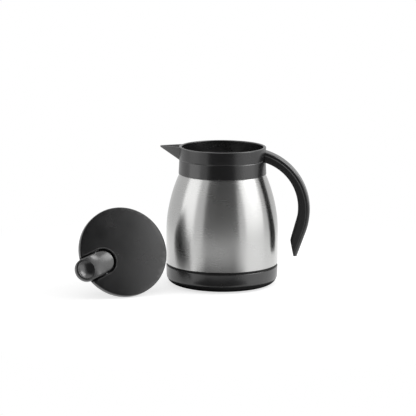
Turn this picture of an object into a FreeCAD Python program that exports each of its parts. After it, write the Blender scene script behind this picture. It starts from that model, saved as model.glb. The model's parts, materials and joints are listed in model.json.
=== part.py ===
import FreeCAD, Part
import math
import os

# Vacuum carafe with its lid lying beside it. Millimetres, +Z up.
# The origin is the centre of the foot pad on the table. The handle points to +X and the pouring beak to -X.

os.makedirs("parts", exist_ok=True)

# Driving sizes of the flask
body_radius = 64.0
rim_height = 157.8
bell_start = 57.0
shoulder_inset = 1.75
steel_wall = 0.8
vacuum_gap = 5.0
base_height = 22.0
base_ring_height = 3.1
base_corner = 9.8
plastic_wall = 2.25
collar_height = 30.7
collar_radius = 49.5
collar_wall = 3.1
groove_drop = 14.6
spout_reach = 21.5
spout_half_width = 13.5
spout_depth = 19.4
spout_tip_half_width = 2.2
spout_tip_depth = 1.9
keel_radius = 2.0
keel_tip_radius = 0.8

# Driving sizes of the handle, whose outline is an outer and an inner arc, each with a straight tail
handle_reach = 50.5
handle_top_drop = 4.5
handle_root_depth = 12.4
handle_depth = 13.2
handle_outer_radius = 70.8
handle_inner_radius = 53.7
handle_outer_tail_angle = 19.7
handle_inner_tail_angle = 15.6
handle_half_width = 11.0
handle_corner_drop = 105.2
handle_tip_drop = 123.8
handle_tip_thickness = 4.2
handle_outer_round = 2.6
handle_inner_round = 3.0
spine_thickness = 3.4

# Driving sizes of the lid, in the lid's own frame: Z' is the lid's axis and 0 is the underside of its flange
lid_overhang = 1.3
lid_thickness = 7.3
flange_thickness = 2.4
plug_inset = 10.5
plug_length = 33.0
gasket_proud = 2.0
gasket_bottom = 21.9
lever_half_width = 13.2
lever_inner_inset = 23.8
lever_outer_inset = 0.3
slot_half_width = 14.5
dimple_radius = 9.5
dimple_depth = 4.6
pin_inset = 21.5
pin_z = 2.6
pin_radius = 1.5

# How the lid lies: its facing direction, the turn of its lever and the point where its edge touches the table
lid_facing_angle = -63.3
lever_turn_angle = 201.0
lid_contact_x = -97.8
lid_contact_y = -86.5

# Named clearances
fixed_gap = 0.3
seam_gap = 0.15
running_gap = 0.06
thread_gap = 0.05
seat_gap = 0.1

# How far a cutting shape runs past what it cuts
overrun = 50.0


def vec(x, y, z):
    return FreeCAD.Vector(x, y, z)


def outline_edges(path, lift):
    """Edges of a closed outline. A point of four numbers ends an arc through its last two numbers."""
    edges = []
    for index in range(len(path)):
        before = path[index - 1]
        here = path[index]
        start = lift(before[0], before[1])
        end = lift(here[0], here[1])
        if (end - start).Length < 1e-6:
            continue
        if len(here) == 4:
            edges.append(Part.Arc(start, lift(here[2], here[3]), end).toShape())
        else:
            edges.append(Part.LineSegment(start, end).toShape())
    return edges


def outline_face(path):
    return Part.Face(Part.Wire(outline_edges(path, lambda a, b: vec(a, 0, b))))


def turned(path):
    """Solid of revolution about Z from an outline of radius and height."""
    return outline_face(path).revolve(vec(0, 0, 0), vec(0, 0, 1), 360)


def plate(path, half_width):
    """Solid from an outline in X and Z, as wide as given on both sides of Y = 0."""
    face = outline_face(path)
    face.translate(vec(0, -half_width, 0))
    return face.extrude(vec(0, 2 * half_width, 0))


def cylinder(radius, low, high, x=0.0, y=0.0):
    return Part.makeCylinder(radius, high - low, vec(x, y, low))


def block(x0, x1, half_width, z0, z1):
    return Part.makeBox(x1 - x0, 2 * half_width, z1 - z0, vec(x0, -half_width, z0))


def corner_arc(r, z, radius, quarter):
    """End and middle of a quarter round about (r, z), from one axis direction to the next."""
    middle = math.radians(90 * quarter + 45)
    end = math.radians(90 * quarter + 90)
    return (
        r + radius * math.cos(end),
        z + radius * math.sin(end),
        r + radius * math.cos(middle),
        z + radius * math.sin(middle),
    )


def one_solid(shape):
    clean = shape.removeSplitter()
    return clean.Solids[0] if len(clean.Solids) == 1 else clean


def write(name, shape):
    solids = shape.Solids
    good = all(s.isValid() for s in solids)
    print(name, "solids", len(solids), "valid", good, "volume", round(shape.Volume, 1))
    shape.exportStep("parts/" + name + ".step")


# Sizes of the lid that follow from the collar
lid_radius = collar_radius + lid_overhang
plug_radius = collar_radius - plug_inset
gasket_radius = plug_radius + gasket_proud
lever_inner_x = lid_radius - lever_inner_inset
lever_outer_x = lid_radius - lever_outer_inset
pin_x = lid_radius - pin_inset

# Heights and radii that follow from the driving sizes
seat_inset = 3.0
seat_radius = body_radius - seat_inset
steel_bottom = base_height + base_ring_height
foot_stand = 0.8
pan_clearance = 0.2
pan_top = foot_stand + base_corner + steel_wall + pan_clearance
collar_bottom = rim_height - collar_height
shoulder_cover = 2.4
shoulder_start = collar_bottom + shoulder_cover
deck_drop = 13.1
deck_top = rim_height - deck_drop
deck_thickness = 2.4
deck_under = deck_top - deck_thickness
gasket_thickness = 1.2
lip_thickness = 0.8
neck_top = deck_under - gasket_thickness - lip_thickness
mouth_radius = gasket_radius + fixed_gap
neck_radius = mouth_radius + 2 * steel_wall + fixed_gap
shoulder_rise = 2.5
shoulder_top = shoulder_start + shoulder_rise
shoulder_wall_drop = 0.4
bore_radius = collar_radius - collar_wall

# The bell is an arc that leaves the straight side upright and ends on the shoulder inside the collar
bell_rise = shoulder_start - bell_start
bell_drop = body_radius - collar_radius + shoulder_inset
bell_radius = (bell_rise ** 2 + bell_drop ** 2) / (2 * bell_drop)
bell_centre = body_radius - bell_radius


def bell(offset, height):
    """Radius of the bell curve, moved in by an offset, at a height."""
    reach = (bell_radius - offset) ** 2 - (height - bell_start) ** 2
    return bell_centre + math.sqrt(reach)


def bell_height(offset, radius):
    reach = (bell_radius - offset) ** 2 - (radius - bell_centre) ** 2
    return bell_start + math.sqrt(reach)


# Steel flask

def outer_shell():
    middle = (bell_start + shoulder_start) / 2
    inner_start = shoulder_start - shoulder_wall_drop
    inner_middle = (bell_start + inner_start) / 2
    outer = [
        (seat_radius - steel_wall, pan_top),
        (seat_radius, pan_top),
        (seat_radius, steel_bottom),
        (body_radius, steel_bottom),
        (body_radius, bell_start),
        (bell(0, shoulder_start), shoulder_start, bell(0, middle), middle),
        (neck_radius, shoulder_top),
        (neck_radius, neck_top),
    ]
    inner = [
        (neck_radius - steel_wall, neck_top),
        (neck_radius - steel_wall, shoulder_top - shoulder_wall_drop),
        (bell(steel_wall, inner_start), inner_start),
        (body_radius - steel_wall, bell_start, bell(steel_wall, inner_middle), inner_middle),
        (body_radius - steel_wall, steel_bottom + steel_wall),
        (seat_radius - steel_wall, steel_bottom + steel_wall),
    ]
    return turned(outer + inner)


liner_rise = 13.0
liner_floor = pan_top + liner_rise
liner_corner = 12.0
liner_out = steel_wall + vacuum_gap
liner_inn = liner_out + steel_wall
liner_seam = liner_floor + liner_corner


def inner_liner():
    """Thin bell-shaped wall with a rolled lip that lies on the shell's neck."""
    side_out = body_radius - liner_out
    side_inn = body_radius - liner_inn
    neck_out = mouth_radius + steel_wall
    turn_out = bell_height(liner_out, neck_out)
    turn_inn = bell_height(liner_inn, mouth_radius)
    mid_out = (bell_start + turn_out) / 2
    mid_inn = (bell_start + turn_inn) / 2
    path = [
        (side_out, liner_seam),
        (side_out, bell_start),
        (neck_out, turn_out, bell(liner_out, mid_out), mid_out),
        (neck_out, neck_top),
        (neck_radius, neck_top),
        (neck_radius, neck_top + lip_thickness),
        (mouth_radius, neck_top + lip_thickness),
        (mouth_radius, turn_inn),
        (side_inn, bell_start, bell(liner_inn, mid_inn), mid_inn),
        (side_inn, liner_seam),
    ]
    return turned(path)


def liner_bottom():
    """Dished floor of the liner, welded to the wall's lower edge."""
    half = math.sqrt(0.5)
    small = liner_corner - steel_wall
    centre = body_radius - liner_out - liner_corner
    path = [
        (0, liner_floor),
        (centre, liner_floor),
        (centre + liner_corner, liner_seam, centre + liner_corner * half, liner_seam - liner_corner * half),
        (centre + small, liner_seam),
        (centre, liner_floor + steel_wall, centre + small * half, liner_seam - small * half),
        (0, liner_floor + steel_wall),
    ]
    return turned(path)


plug_hole_radius = 1.5
bead_radius = 4.0
bead_height = 1.6
getter_radius = 8.0
getter_height = 2.5
getter_offset = 19.2


def shell_bottom():
    disc = cylinder(seat_radius, pan_top - steel_wall, pan_top)
    return disc.cut(cylinder(plug_hole_radius, 0, pan_top + 1))


def getter():
    return cylinder(getter_radius, pan_top, pan_top + getter_height, getter_offset, 0)


def vacuum_plug():
    """Bead that closes the pump-out hole in the middle of the pan."""
    under = pan_top - steel_wall
    head = cylinder(bead_radius, under - bead_height, under)
    spigot = cylinder(plug_hole_radius - seat_gap, under - seat_gap, pan_top)
    return one_solid(head.fuse(spigot))


# Base

pad_thickness = 1.8
pad_inset = 18.0
pad_radius = body_radius - pad_inset
base_lip = 0.7
base_draft = 0.4
ring_recess = 1.2
rib_inside = 1.5
rib_outside = 1.0


def base_cup():
    half = math.sqrt(0.5)
    side = body_radius - base_draft
    centre_r = side - base_corner
    centre_z = foot_stand + base_corner
    small = base_corner - plastic_wall
    rib_in = centre_r - rib_inside
    rib_out = centre_r + rib_outside
    floor = centre_z - small
    path = [
        (0, pad_thickness),
        (pad_radius + fixed_gap, pad_thickness),
        (pad_radius + fixed_gap, foot_stand),
        (centre_r, foot_stand),
        (side, centre_z, centre_r + base_corner * half, centre_z - base_corner * half),
        (body_radius, base_height - base_lip),
        (body_radius - base_lip, base_height),
        (seat_radius + fixed_gap, base_height),
        (seat_radius + fixed_gap, centre_z),
        (centre_r + small, centre_z),
        (rib_out, centre_z - math.sqrt(small ** 2 - (rib_out - centre_r) ** 2),
         centre_r + small * half, centre_z - small * half),
        (rib_out, pan_top - steel_wall),
        (rib_in, pan_top - steel_wall),
        (rib_in, floor),
        (0, floor),
    ]
    return turned(path)


def base_ring():
    """Recessed dark ring between the cup's lip and the step in the shell."""
    inner = seat_radius + fixed_gap
    outer = body_radius - ring_recess
    return cylinder(outer, base_height, steel_bottom).cut(cylinder(inner, 0, steel_bottom + 1))


def foot_pad():
    return cylinder(pad_radius, 0, pad_thickness)


# Collar with its pouring beak

def beak_section(x, half_width, depth, tip_radius, above):
    """Rounded V in the plane at x, with its top edge at a height above the rim."""
    slope = math.atan2(half_width, depth)
    top = half_width * (depth + above) / depth
    touch = tip_radius / math.tan(slope)
    side = touch * math.sin(slope)
    level = rim_height - depth + touch * math.cos(slope)
    low = rim_height - depth + tip_radius / math.sin(slope) - tip_radius
    left = vec(x, -top, rim_height + above)
    right = vec(x, top, rim_height + above)
    edges = [
        Part.LineSegment(left, right).toShape(),
        Part.LineSegment(right, vec(x, side, level)).toShape(),
        Part.Arc(vec(x, side, level), vec(x, 0, low), vec(x, -side, level)).toShape(),
        Part.LineSegment(vec(x, -side, level), left).toShape(),
    ]
    return Part.Wire(edges)


beak_root_inset = 2.5
beak_root_x = -(collar_radius - beak_root_inset)
beak_tip_x = -(collar_radius + spout_reach)
beak_wall = 2.1
rim_bridge = 3.2
channel_overlap = 1.4


def beak_solid():
    root = beak_section(beak_root_x, spout_half_width, spout_depth, keel_radius, 0.0)
    tip = beak_section(beak_tip_x, spout_tip_half_width, spout_tip_depth, keel_tip_radius, 0.0)
    return Part.makeLoft([root, tip], True, True)


def beak_channel():
    """Room inside the beak, open above, which also runs through the collar's wall."""
    length = beak_root_x - beak_tip_x
    steep = (spout_depth - spout_tip_depth) / length
    spread = (spout_half_width - spout_tip_half_width) / length
    slope = math.atan2(spout_half_width, spout_depth)
    inward = collar_wall + channel_overlap
    depth_in = spout_depth - beak_wall / math.sin(slope) + inward * steep
    width_in = spout_half_width - beak_wall / math.cos(slope) + inward * spread
    root = beak_section(beak_root_x + inward, width_in, depth_in, keel_radius, beak_wall)
    half = spout_tip_half_width / 2
    tip = beak_section(beak_tip_x + beak_wall, half, spout_tip_depth / 2, keel_tip_radius / 2, beak_wall)
    return Part.makeLoft([root, tip], True, True)


collar_flare = 0.5
collar_waist = 0.25
groove_depth = 0.45
groove_half_height = 0.7
rim_round = 0.8
deck_fall = 0.8
skirt_gap = 0.4
skirt_wall = 1.8
skirt_length = 6.5
steel_gap = 0.25
heel_rise = 1.6


def collar_ring():
    lower = collar_radius + collar_flare
    groove_z = rim_height - groove_drop
    waist = collar_radius - collar_waist
    edge = rim_round
    skirt_in = neck_radius + skirt_gap
    skirt_out = skirt_in + skirt_wall
    skirt_low = deck_under - skirt_length
    foot = bell(0, collar_bottom) + steel_gap
    heel = bell(0, shoulder_start) + steel_gap
    outside = [
        (foot, collar_bottom),
        (lower, collar_bottom),
        (waist, groove_z - groove_half_height),
        (waist - groove_depth, groove_z),
        (waist, groove_z + groove_half_height),
        (collar_radius, rim_height - edge),
        corner_arc(collar_radius - edge, rim_height - edge, edge, 0),
        (bore_radius + edge, rim_height),
        corner_arc(bore_radius + edge, rim_height - edge, edge, 1),
    ]
    inside = [
        (bore_radius, deck_top),
        (mouth_radius, deck_top - deck_fall),
        (mouth_radius, deck_under),
        (skirt_in, deck_under),
        (skirt_in, skirt_low),
        (skirt_out, skirt_low),
        (skirt_out, deck_under),
        (bore_radius, deck_under),
        (bore_radius, shoulder_start + heel_rise),
        (heel, shoulder_start),
    ]
    return turned(outside + inside)


# The handle's tenon points midway between the tangents of the handle's two arcs where they leave the collar
tenon_length = 9.0
tenon_root = 8.0
tenon_half_height = 2.6
tenon_half_width = 7.0
web_thickness = 2.2
screw_radius = 1.3
screw_head_radius = 2.2
screw_offset = 3.9
screw_head_height = 2.0
screw_hole_start = 1.0
screw_start = 2.0
screw_play = 0.2


def rise_at_collar(centre_x, radius):
    """Height above its centre at which an arc of the handle leaves the collar."""
    return math.sqrt(radius ** 2 - (collar_radius - centre_x) ** 2)


# An arc of the handle is its centre, its radius and the angle of its tail
outer_x = collar_radius + handle_reach - handle_outer_radius
outer_z = rim_height - handle_top_drop - rise_at_collar(outer_x, handle_outer_radius)
outer_arc = (outer_x, outer_z, handle_outer_radius, handle_outer_tail_angle)
root_low = rim_height - handle_top_drop - handle_root_depth
inner_x = collar_radius + handle_reach - handle_depth - handle_inner_radius
inner_z = root_low - rise_at_collar(inner_x, handle_inner_radius)
inner_arc = (inner_x, inner_z, handle_inner_radius, handle_inner_tail_angle)
root_high = outer_z + rise_at_collar(outer_x, handle_outer_radius - spine_thickness)
outer_root_angle = math.acos((collar_radius - outer_x) / handle_outer_radius)
inner_root_angle = math.acos((collar_radius - inner_x) / handle_inner_radius)
root_angle = (outer_root_angle + inner_root_angle) / 2
handle_corner_z = rim_height - handle_corner_drop
handle_tip_z = rim_height - handle_tip_drop
handle_spare = 11.0
handle_low = handle_tip_z - handle_spare
handle_inside = 9.5


def along_handle_root(shape):
    """Carries a shape from a frame whose X runs along the tenon to the place of the tenon."""
    s = math.sin(root_angle)
    c = math.cos(root_angle)
    z = (root_low + root_high) / 2
    move = FreeCAD.Matrix(s, 0, c, collar_radius, 0, 1, 0, 0, -c, 0, s, z, 0, 0, 0, 1)
    placed = shape.copy()
    placed.Placement = FreeCAD.Placement(move).multiply(placed.Placement)
    return placed


def root_rod(radius, start, end, y):
    rod = Part.makeCylinder(radius, end - start, vec(start, y, 0), vec(1, 0, 0))
    return along_handle_root(rod)


def tenon():
    half = tenon_half_height
    body = along_handle_root(block(-tenon_root, tenon_length, tenon_half_width, -half, half))
    body = body.cut(cylinder(collar_radius - collar_wall / 2, 0, rim_height + overrun))
    for y in (-screw_offset, screw_offset):
        body = body.cut(root_rod(screw_radius + thread_gap, screw_hole_start, tenon_length + 1, y))
    return body


def collar():
    body = collar_ring().fuse(tenon())
    inside = cylinder(collar_radius - collar_wall / 2, 0, rim_height + overrun)
    body = body.fuse(beak_solid().cut(inside))
    channel = beak_channel()
    open_part = channel.cut(cylinder(collar_radius, 0, rim_height + overrun))
    window = channel.common(cylinder(2 * body_radius, 0, rim_height - rim_bridge))
    return one_solid(body.cut(open_part).cut(window))


def neck_gasket():
    high = deck_under
    low = deck_under - gasket_thickness
    ring = cylinder(neck_radius, low, high)
    return ring.cut(cylinder(mouth_radius + fixed_gap, 0, high + 1))


# Handle

def moved_in(arc, distance):
    """The same arc and tail, nearer to the arc's centre by a distance."""
    return (arc[0], arc[1], arc[2] - distance, arc[3])


def tail_start(arc):
    """Point where an arc turns into its straight tail."""
    tail = math.radians(arc[3])
    return arc[0] + arc[2] * math.cos(tail), arc[1] - arc[2] * math.sin(tail)


def tail_x(arc, z):
    x, top = tail_start(arc)
    return x - (top - z) * math.tan(math.radians(arc[3]))


def handle_region(arc, half_width):
    """Everything inside an arc of the handle and its straight tail, as far in as the collar's bore."""
    side = collar_radius - handle_inside
    centre_x, centre_z, radius, tail_angle = arc
    top = math.acos((side - centre_x) / radius)
    middle = (top - math.radians(tail_angle)) / 2
    path = [
        (side, handle_low),
        (tail_x(arc, handle_low), handle_low),
        tail_start(arc),
        (
            side,
            centre_z + radius * math.sin(top),
            centre_x + radius * math.cos(middle),
            centre_z + radius * math.sin(middle),
        ),
    ]
    return plate(path, half_width)


def long_edges(shape, arc):
    """Side edges of the handle that run along one of its arcs and that arc's tail."""
    found = []
    near = 1e-3
    for edge in shape.Edges:
        box = edge.BoundBox
        if abs(abs(box.Center.y) - handle_half_width) > near or box.YLength > near:
            continue
        point = edge.valueAt((edge.FirstParameter + edge.LastParameter) / 2)
        if point.z < handle_low + near:
            continue
        reach = math.hypot(point.x - arc[0], point.z - arc[1])
        on_tail = abs(point.x - tail_x(arc, point.z)) < near
        if abs(reach - arc[2]) < near or on_tail:
            found.append(edge)
    return found


def whole_handle():
    outer = handle_region(outer_arc, handle_half_width)
    inner = handle_region(inner_arc, handle_half_width + 1)
    body = one_solid(outer.cut(inner))
    body = body.makeFillet(handle_outer_round, long_edges(body, outer_arc))
    body = body.makeFillet(handle_inner_round, long_edges(body, inner_arc))
    corner_x = tail_x(inner_arc, handle_corner_z)
    tip_x = tail_x(outer_arc, handle_tip_z) - handle_tip_thickness
    waste = [
        (corner_x, handle_corner_z),
        (tip_x, handle_tip_z),
        (tip_x + overrun, handle_tip_z),
        (tip_x + overrun, handle_low - overrun),
        (corner_x - overrun, handle_low - overrun),
        (corner_x - overrun, handle_corner_z),
    ]
    body = body.cut(plate(waste, handle_half_width + 2))
    return body.cut(cylinder(collar_radius + seam_gap, 0, rim_height + overrun))


grip_wall = 2.0
web_end = tenon_length + fixed_gap + web_thickness
pocket_half_width = handle_half_width - grip_wall
pocket_rise = 7.0
pocket_low = handle_corner_z + pocket_rise
land_depth = 1.8
land_start = 6.0
land_rise = 3.0


def handle_pocket(outer, inner, half_width, start, low):
    """Room between two arcs, from a distance along the handle's root to a height above the tail."""
    room = handle_region(outer, half_width).cut(handle_region(inner, half_width + 1))
    far = 4 * overrun
    ahead = along_handle_root(block(start, far, half_width + 1, -far, far))
    above = block(0, far, half_width + 1, low, far)
    return room.common(ahead).common(above)


def handle_grip():
    """Dark inner part of the handle, hollow behind the spine, with a socket for the collar's tenon."""
    body = whole_handle().common(handle_region(moved_in(outer_arc, spine_thickness + seam_gap), overrun))
    roof = moved_in(outer_arc, spine_thickness - 1.0)
    floor = moved_in(inner_arc, -grip_wall)
    body = body.cut(handle_pocket(roof, floor, pocket_half_width, web_end, pocket_low))
    half_height = tenon_half_height + fixed_gap
    half_width = tenon_half_width + fixed_gap
    socket = block(-tenon_root - overrun, tenon_length + fixed_gap, half_width, -half_height, half_height)
    body = body.cut(along_handle_root(socket))
    for y in (-screw_offset, screw_offset):
        body = body.cut(root_rod(screw_radius + screw_play, 0, web_end + 1, y))
    return one_solid(body)


def handle_spine():
    """Outer strip of the handle, with a land that snaps into the grip's pocket."""
    strip = whole_handle().cut(handle_region(moved_in(outer_arc, spine_thickness), overrun))
    roof = moved_in(outer_arc, spine_thickness - 0.5)
    floor = moved_in(outer_arc, spine_thickness + land_depth)
    half = pocket_half_width - seam_gap
    land = handle_pocket(roof, floor, half, web_end + land_start, pocket_low + land_rise)
    return one_solid(strip.fuse(land))


def handle_screws():
    screws = []
    for y in (-screw_offset, screw_offset):
        shank = root_rod(screw_radius, screw_start, web_end + 0.5, y)
        head = root_rod(screw_head_radius, web_end, web_end + screw_head_height, y)
        screws.append(one_solid(shank.fuse(head)))
    return Part.makeCompound(screws)


# Lid, built in its own frame

window_half_width = 12.0
opening_half_width = lever_half_width + 0.5
lug_out = lever_half_width + 4.4
guide_ledge = -12.0
guide_thickness = 2.5
floor_thickness = 2.0
port_radius = 9.0
seat_lip = 0.6
cover_plate = 2.2
cover_under = lid_thickness - cover_plate
cover_edge = 0.9
cover_chamfer = 0.5
cover_screw_circle = (plug_radius + bore_radius) / 2 + 1.3
cover_screw_radius = 1.25
cover_screw_length = 3.8
cover_screw_head_radius = 2.6
cover_screw_head_height = 1.6
boss_radius = 3.4
plug_wall = 4.7
guide_wall = 3.5
port_lip = 1.5
plug_lip_inset = 0.5
plug_lip_height = 1.5
plug_tip_inset = 3.2
gasket_height = 4.1
gasket_groove_depth = 1.4
gasket_lip = 1.0
waist_proud = 0.4
waist_low = 1.6
waist_high = 2.6
upper_lip = 3.3
upper_inset = 0.2
lug_half_length = 4.0
lever_well_back = -8.0
lever_well_front = 5.0
lever_well_depth = 3.0
pour_window_depth = 8.0
pour_window_low = 3.0
pour_window_high = -2.0
pin_fit = 0.03
pin_access = 5.0
cover_screw_angles = (60.0, 180.0, 300.0)


def on_circle(radius, degrees):
    turn = math.radians(degrees)
    return radius * math.cos(turn), radius * math.sin(turn)


def stopper_body():
    floor_top = -plug_length + floor_thickness
    groove_top = -gasket_bottom + gasket_height + 2 * seat_gap
    groove_low = -gasket_bottom - seat_gap
    groove_radius = plug_radius - gasket_groove_depth
    lip_radius = plug_radius - plug_lip_inset
    lip_low = groove_low - plug_lip_height
    tip_radius = plug_radius - plug_tip_inset
    path = [
        (0, flange_thickness),
        (lid_radius, flange_thickness),
        (lid_radius, 0),
        (plug_radius, 0),
        (plug_radius, groove_top),
        (groove_radius, groove_top),
        (groove_radius, groove_low),
        (lip_radius, groove_low),
        (lip_radius, lip_low),
        (tip_radius, -plug_length),
        (port_radius, -plug_length),
        (port_radius, floor_top + seat_lip),
        (port_radius + port_lip, floor_top + seat_lip),
        (port_radius + port_lip, floor_top),
        (plug_radius - plug_wall, floor_top),
        (plug_radius - plug_wall, guide_ledge),
        (plug_radius - guide_wall, guide_ledge),
        (plug_radius - guide_wall, 0),
        (0, 0),
    ]
    body = turned(path)
    lug = block(pin_x - lug_half_length, pin_x + lug_half_length, lug_out, 0, cover_under - fixed_gap)
    body = body.fuse(lug)
    well_front = pin_x + lever_well_front
    body = body.cut(block(lever_well_back, well_front, opening_half_width, -lever_well_depth, lid_thickness))
    pour_low = guide_ledge + pour_window_low
    pour_in = -plug_radius + pour_window_depth
    pour = block(-lid_radius, pour_in, window_half_width, pour_low, pour_window_high)
    body = body.cut(pour)
    body = body.cut(along_pin(pin_radius + pin_fit, lug_out + pin_access))
    for degrees in cover_screw_angles:
        x, y = on_circle(cover_screw_circle, degrees)
        body = body.cut(cylinder(cover_screw_radius + screw_play, -1, flange_thickness + 1, x, y))
        body = body.cut(cylinder(cover_screw_head_radius + fixed_gap, -1, cover_screw_head_height, x, y))
    return one_solid(body)


def along_pin(radius, half_length):
    return Part.makeCylinder(radius, 2 * half_length, vec(pin_x, -half_length, pin_z), vec(0, 1, 0))


def lid_cover():
    edge = cover_edge
    under = cover_under
    path = [
        (0, lid_thickness),
        (lid_radius - edge, lid_thickness),
        (
            lid_radius,
            lid_thickness - edge,
            lid_radius - edge + edge * math.sqrt(0.5),
            lid_thickness - edge + edge * math.sqrt(0.5),
        ),
        (lid_radius, flange_thickness + cover_chamfer),
        (lid_radius - cover_chamfer, flange_thickness),
        (lid_radius - cover_plate, flange_thickness),
        (lid_radius - cover_plate, under),
        (0, under),
    ]
    body = turned(path)
    for degrees in cover_screw_angles:
        x, y = on_circle(cover_screw_circle, degrees)
        body = body.fuse(cylinder(boss_radius, flange_thickness, under + seat_gap, x, y))
        hole_top = flange_thickness + cover_screw_length + 2 * seat_gap
        body = body.cut(cylinder(cover_screw_radius + thread_gap, 0, hole_top, x, y))
    slot = block(lever_inner_x, lid_radius + overrun, slot_half_width, 0, lid_thickness + 5)
    slot = slot.fuse(cylinder(slot_half_width, 0, lid_thickness + 5, lever_inner_x, 0))
    return one_solid(body.cut(slot))


def cover_screws():
    screws = []
    for degrees in cover_screw_angles:
        x, y = on_circle(cover_screw_circle, degrees)
        head = cylinder(cover_screw_head_radius, seat_gap, cover_screw_head_height, x, y)
        neck = cover_screw_head_height - seat_gap
        shank = cylinder(cover_screw_radius, neck, flange_thickness + cover_screw_length, x, y)
        screws.append(one_solid(head.fuse(shank)))
    return Part.makeCompound(screws)


def lid_gasket():
    """Twin-lip ring in the groove of the plug."""
    inner = plug_radius - gasket_groove_depth + seat_gap
    low = -gasket_bottom
    path = [
        (inner, low),
        (gasket_radius, low),
        (gasket_radius, low + gasket_lip),
        (plug_radius + waist_proud, low + waist_low),
        (plug_radius + waist_proud, low + waist_high),
        (gasket_radius - upper_inset, low + upper_lip),
        (gasket_radius - upper_inset, low + gasket_height),
        (inner, low + gasket_height),
    ]
    return turned(path)


def lever_pin():
    return along_pin(pin_radius, lug_out)


# Thumb lever, whose inner fork lifts the valve rod when its outer end is pressed

fork_top = -3.5
fork_thickness = 2.5
fork_tip = 1.0
fork_step = 1.0
fork_flat = 0.5
fork_fall = 0.35
fork_heel = 3.0
arm_half_width = 7.0
arm_rise = 1.6
arm_knee = 2.5
arm_height = 3.0
arm_bend = 14.0
arm_low = -1.0
arm_drop = 3.0
arms_join_x = pin_x - 10.0
arms_join_z = 1.9
rod_radius = 2.0
rod_head_radius = 5.5
lever_under = 5.9
lever_low_inner = 2.0
lever_top_inner = 6.2
lever_slope = 0.2
lever_crown = 30.0
lever_edge = 1.0
under_bend = 3.0
dimple_shift = 1.0
sleeve_radius = 3.2
rod_play = 0.7


def lever_top(x):
    """Height of the lever's top along its middle."""
    return lever_top_inner + lever_slope * (x - lever_inner_x + lever_half_width)


def lever_body():
    inner = lever_inner_x - lever_half_width
    outer = lever_outer_x + lever_half_width
    side = [
        (inner, lever_low_inner),
        (lever_outer_x - under_bend, lever_under),
        (outer, lever_under),
        (outer, lever_top(outer)),
        (inner, lever_top(inner)),
    ]
    high = lever_top(outer) + lever_edge
    plan = block(lever_inner_x, lever_outer_x, lever_half_width, 0, high)
    for x in (lever_inner_x, lever_outer_x):
        plan = plan.fuse(cylinder(lever_half_width, 0, high, x, 0))
    along = vec(1, 0, lever_slope)
    along.normalize()
    across = vec(-along.z, 0, along.x)
    start = vec(inner, 0, lever_top(inner)) - across * lever_crown - along * overrun
    barrel = Part.makeCylinder(lever_crown, 3 * overrun, start, along)
    return plate(side, lever_half_width).common(plan.removeSplitter()).common(barrel)


def thumb_lever():
    fork_low = fork_top - fork_thickness
    arm = [
        (pin_x, pin_z + arm_rise),
        (lever_inner_x - lever_half_width + arm_knee, arm_height),
        (rod_head_radius + fork_step, fork_top),
        (fork_tip + fork_flat, fork_top),
        (-fork_tip, fork_top - fork_fall),
        (-fork_tip, fork_low),
        (rod_head_radius + fork_heel, fork_low),
        (pin_x - arm_bend, arm_low),
        (pin_x, pin_z - arm_drop),
    ]
    body = lever_body().fuse(along_pin(sleeve_radius, lever_half_width))
    body = body.fuse(plate(arm, arm_half_width))
    body = body.cut(along_pin(pin_radius + running_gap, lever_half_width + 5))
    body = body.cut(block(-overrun, arms_join_x, rod_radius + rod_play, fork_low - 1, arms_join_z))
    ball = (dimple_radius ** 2 + dimple_depth ** 2) / (2 * dimple_depth)
    across = vec(-lever_slope, 0, 1)
    across.normalize()
    pad_x = lever_outer_x + dimple_shift
    centre = vec(pad_x, 0, lever_top(pad_x)) + across * (ball - dimple_depth)
    body = body.cut(Part.makeSphere(ball, centre, vec(0, 1, 0)))
    return one_solid(body)


# Valve train on the lid's axis

seat_top = -plug_length + floor_thickness + seat_lip
seal_low = seat_top + seat_gap
seal_thickness = 2.0
disc_thickness = 2.5
seal_top = seal_low + seal_thickness
disc_top = seal_top + disc_thickness
clip_thickness = 0.8
clip_radius = 4.2
head_thickness = 2.2
rod_end = 1.0
disc_overlap = 3.2
seal_overlap = 3.5
guide_rim = 2.6
hub_radius = 5.0
hub_rise = 1.0
spoke_width = 5.0
spoke_angles = (60.0, 180.0, 300.0)
wire_radius = 0.5
coil_radius = 7.0
spring_turns = 5


def valve_rod():
    head_low = fork_top + fixed_gap
    head = cylinder(rod_head_radius, head_low, head_low + head_thickness)
    stem = cylinder(rod_radius, seal_low - clip_thickness - rod_end, head_low + seat_gap)
    return one_solid(stem.fuse(head))


def valve_disc():
    disc = cylinder(port_radius + disc_overlap, seal_top, disc_top)
    return disc.cut(cylinder(rod_radius + thread_gap, -overrun, overrun))


def valve_seal():
    disc = cylinder(port_radius + seal_overlap, seal_low, seal_top)
    return disc.cut(cylinder(rod_radius + thread_gap, -overrun, overrun))


def rod_clip():
    ring = cylinder(clip_radius, seal_low - clip_thickness, seal_low)
    return ring.cut(cylinder(rod_radius + thread_gap, -overrun, overrun))


def valve_guide():
    """Ring, three spokes and a bush that keep the rod on the axis."""
    ring_out = plug_radius - guide_wall - fixed_gap
    top = guide_ledge + guide_thickness
    body = cylinder(ring_out, guide_ledge, top).cut(cylinder(ring_out - guide_rim, -overrun, overrun))
    body = body.fuse(cylinder(hub_radius, guide_ledge, top + hub_rise))
    for degrees in spoke_angles:
        corner = vec(0, -spoke_width / 2, guide_ledge)
        spoke = Part.makeBox(ring_out - guide_rim / 2, spoke_width, guide_thickness, corner)
        spoke.rotate(vec(0, 0, 0), vec(0, 0, 1), degrees)
        body = body.fuse(spoke)
    return one_solid(body.cut(cylinder(rod_radius + running_gap, -overrun, overrun)))


def arc_middle(start, corner, end):
    """Middle of the arc that touches both sides of a corner with sides of one length."""
    chord = end - start
    base = (start + end) * 0.5
    lift = corner - base
    if lift.Length < 1e-9:
        return base
    lean = math.atan2(lift.Length, chord.Length / 2)
    lift.normalize()
    return base + lift * (chord.Length / 2 * math.tan(lean / 2))


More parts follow.
